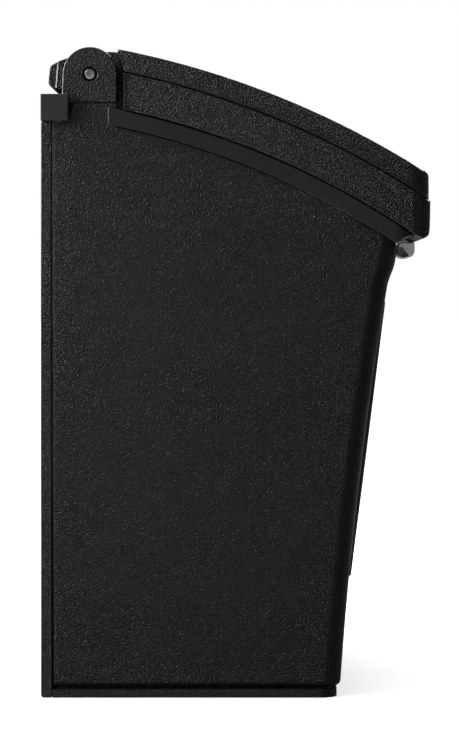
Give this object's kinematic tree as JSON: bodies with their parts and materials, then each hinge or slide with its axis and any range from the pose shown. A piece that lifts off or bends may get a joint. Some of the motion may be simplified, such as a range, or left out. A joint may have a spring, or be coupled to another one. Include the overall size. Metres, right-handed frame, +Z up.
{
  "type": "pedal trash can",
  "caption": "Free-standing moulded bin with a curved hinged lid, a lift-out bucket with a bail, and a pedal in a toe recess that lifts the lid through a rod.",
  "frame": {"origin": "on the floor, under the middle of the overall box", "axes": "+X to the right of someone facing the front, -Y to the front, +Z up"},
  "size_m": [0.28, 0.2344, 0.391],
  "materials": {
    "body_grain": "fine moulded grain, semi-matt black",
    "lid_grain": "coarse moulded grain, semi-matt black",
    "smooth_black": "smooth satin black",
    "steel": "bright turned steel",
    "pull_metal": "light satin metal",
    "zinc": "zinc plated",
    "rubber": "matt black",
    "bucket_plastic": "satin dark grey",
    "nylon": "natural nylon"
  },
  "bodies": {
    "shell": {"outer_shell": "body_grain", "rim_collar": "smooth_black", "rear_rim": "smooth_black", "back_panel": "body_grain", "base_plate": "body_grain", "foot_1": "rubber", "foot_2": "rubber", "foot_3": "rubber", "foot_4": "rubber", "back_screw_1": "zinc", "back_screw_2": "zinc", "back_screw_3": "zinc", "back_screw_4": "zinc", "base_screw_1": "zinc", "base_screw_2": "zinc", "base_screw_3": "zinc", "base_screw_4": "zinc", "front_panel": "smooth_black", "hinge_rod": "steel", "hinge_washer_left": "nylon", "hinge_washer_right": "nylon", "rod_clip_left": "steel", "rod_clip_right": "steel", "rod_guide_lower": "nylon", "rod_guide_upper": "nylon", "pedal_axle": "steel", "axle_bearing_left": "nylon", "axle_bearing_right": "nylon", "mechanism_cover": "smooth_black"},
    "lid": {"lid_cap": "lid_grain", "lid_skirt": "lid_grain", "lid_liner": "smooth_black", "finger_pull": "pull_metal", "crank_bracket": "zinc", "crank_pin": "steel", "hinge_bush_left": "nylon", "hinge_bush_right": "nylon", "liner_screw_1": "zinc", "liner_screw_2": "zinc", "liner_screw_3": "zinc", "liner_screw_4": "zinc"},
    "pedal": {"pedal_lever": "zinc", "pedal_tread": "smooth_black", "pedal_pad": "rubber"},
    "lift_rod": {"lift_rod": "steel", "rod_cap": "nylon", "rod_foot": "nylon"},
    "bucket": {"inner_bucket": "bucket_plastic"},
    "bail": {"bucket_bail": "steel", "bail_grip": "smooth_black"}
  },
  "joints": [
    {"name": "lid_hinge", "type": "hinge", "parent": "shell", "child": "lid", "pos_m": [0, 0.08765, 0.3748], "axis": [-1, 0, 0], "range_deg": [0, 80]},
    {"name": "pedal_press", "type": "hinge", "parent": "shell", "child": "pedal", "pos_m": [0, -0.01285, 0.02], "axis": [1, 0, 0], "range_deg": [0, 15.2]},
    {"name": "rod_lift", "type": "slide", "parent": "shell", "child": "lift_rod", "axis": [0, 0, 1], "range_m": [0, 0.02265]},
    {"name": "bucket_lift", "type": "slide", "parent": "shell", "child": "bucket", "axis": [0, 0, 1], "range_m": [0, 0.02]},
    {"name": "bail_swing", "type": "hinge", "parent": "bucket", "child": "bail", "pos_m": [0, -0.00994, 0.2623], "axis": [-1, 0, 0], "range_deg": [0, 180]}
  ],
  "couplings": [
    {"joint": "pedal_press", "follows": "lid_hinge", "ratio": 0.18962},
    {"joint": "rod_lift", "follows": "lid_hinge", "m_per_rad": 0.016205}
  ]
}
